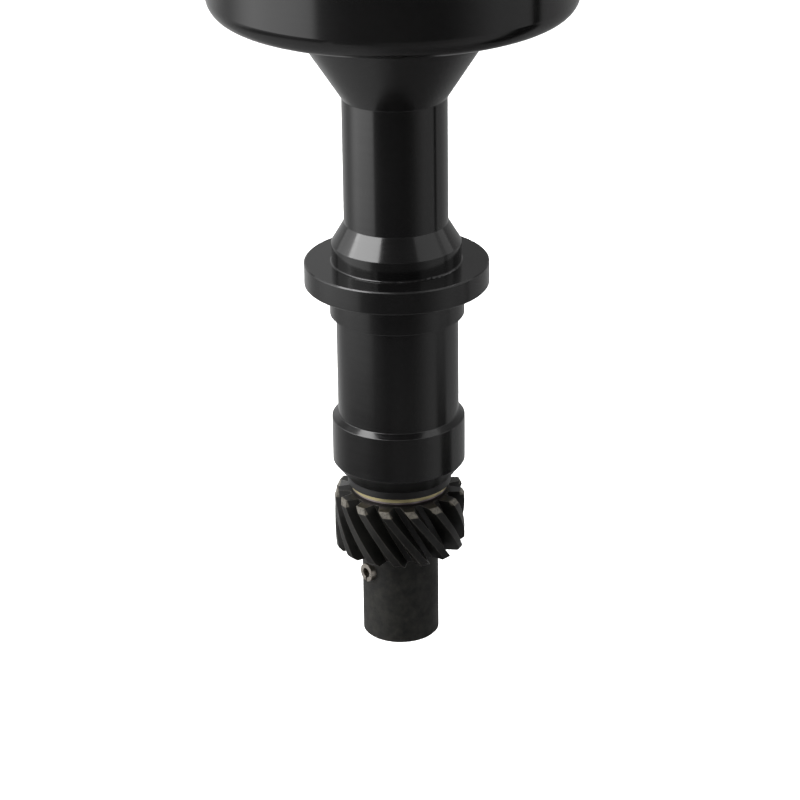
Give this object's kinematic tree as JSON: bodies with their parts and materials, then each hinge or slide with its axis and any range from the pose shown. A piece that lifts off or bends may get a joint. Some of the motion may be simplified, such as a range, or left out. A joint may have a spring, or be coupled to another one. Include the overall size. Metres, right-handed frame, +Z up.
{
  "type": "ignition distributor",
  "caption": "Slim billet ignition distributor with a flared bowl, round clamp flange, helical drive gear, centrifugal advance, rotor and terminal cap.",
  "frame": {"origin": "centre of the hold-down flange's underside, where the housing seats on the block", "axes": "+Z up the shaft towards the cap; -Z down the pilot to the gear; -Y towards the cap's key and the picture's camera"},
  "size_m": [0.1104, 0.0975, 0.2562],
  "materials": {
    "anodised_billet": "gloss black anodised, turned from bar",
    "sintered_bronze": "oil-filled sintered bronze",
    "bearing_steel": "ground and polished",
    "cage_steel": "pressed sheet steel",
    "spring_steel": "spring wire",
    "plated_steel": "zinc plated",
    "zinc_screws": "bright zinc plated",
    "pickup_moulding": "black glass-filled nylon",
    "black_rubber": "matt black rubber",
    "cap_moulding": "moulded black thermoset",
    "terminal_brass": "machined brass",
    "shaft_steel": "ground steel, oiled",
    "white_nylon": "natural nylon",
    "black_nylon": "black nylon",
    "gear_steel": "dark, oiled, cut teeth",
    "pin_steel": "rolled spring steel",
    "washer_brass": "flat brass",
    "washer_steel": "hardened steel shim",
    "reluctor_steel": "machined steel",
    "weight_steel": "yellow zinc plated steel",
    "rotor_moulding": "moulded black thermoset",
    "carbon": "pressed carbon"
  },
  "bodies": {
    "housing": {"housing": "anodised_billet", "lower_bushing": "sintered_bronze", "bearing_outer_race": "bearing_steel", "bearing_shields": "cage_steel", "bearing_circlip": "spring_steel", "pickup_plate": "plated_steel", "plate_screws": "zinc_screws", "pickup_body": "pickup_moulding", "pickup_pole": "plated_steel", "pickup_screws": "zinc_screws", "lead_grommet": "black_rubber", "distributor_cap": "cap_moulding", "plug_terminals": "terminal_brass", "coil_terminal": "terminal_brass", "brush_spring": "spring_steel", "cap_screws": "zinc_screws"},
    "bearing_cage": {"bearing_cage": "cage_steel", "bearing_balls": "bearing_steel"},
    "shaft": {"drive_shaft": "shaft_steel", "bearing_inner_race": "bearing_steel", "sleeve_spacer": "white_nylon", "drive_gear": "gear_steel", "gear_roll_pin": "pin_steel", "brass_thrust_washer": "washer_brass", "steel_shim_washer": "washer_steel", "centre_cam": "plated_steel", "shaft_clip": "spring_steel"},
    "advance": {"advance_base": "plated_steel", "reluctor": "reluctor_steel", "weight_retainers": "white_nylon", "stop_bush": "black_nylon", "advance_spring_a": "spring_steel", "advance_spring_b": "spring_steel", "rotor": "rotor_moulding", "rotor_blade": "terminal_brass", "rotor_screws": "zinc_screws"},
    "weight_a": {"advance_weight_a": "weight_steel"},
    "weight_b": {"advance_weight_b": "weight_steel"},
    "brush": {"carbon_brush": "carbon"}
  },
  "joints": [
    {"name": "shaft_spin", "type": "hinge", "parent": "housing", "child": "shaft", "pos_m": [0, 0, 0], "axis": [0, 0, 1], "continuous": true},
    {"name": "bearing_cage_spin", "type": "hinge", "parent": "housing", "child": "bearing_cage", "pos_m": [0, 0, 0.07117], "axis": [0, 0, 1], "continuous": true},
    {"name": "centrifugal_advance", "type": "hinge", "parent": "shaft", "child": "advance", "pos_m": [0, 0, 0.09444], "axis": [0, 0, 1], "range_deg": [0, 10.5], "stiffness_Nm_per_rad": 0.6, "springref_deg": -5.73},
    {"name": "weight_a_swing", "type": "hinge", "parent": "advance", "child": "weight_a", "pos_m": [0.021, 0, 0.09459], "axis": [0, 0, -1], "range_deg": [0, 11.56]},
    {"name": "weight_b_swing", "type": "hinge", "parent": "advance", "child": "weight_b", "pos_m": [-0.021, 0, 0.09459], "axis": [0, 0, -1], "range_deg": [0, 11.56]},
    {"name": "brush_slide", "type": "slide", "parent": "housing", "child": "brush", "axis": [0, 0, 1], "range_m": [0, 0.0015], "stiffness_N_per_m": 150, "springref_m": -0.004, "deforming": ["brush_spring"]}
  ],
  "couplings": [
    {"joint": "bearing_cage_spin", "follows": "shaft_spin", "ratio": 0.3934},
    {"joint": "weight_a_swing", "follows": "centrifugal_advance", "ratio": 1.1},
    {"joint": "weight_b_swing", "follows": "centrifugal_advance", "ratio": 1.1}
  ]
}
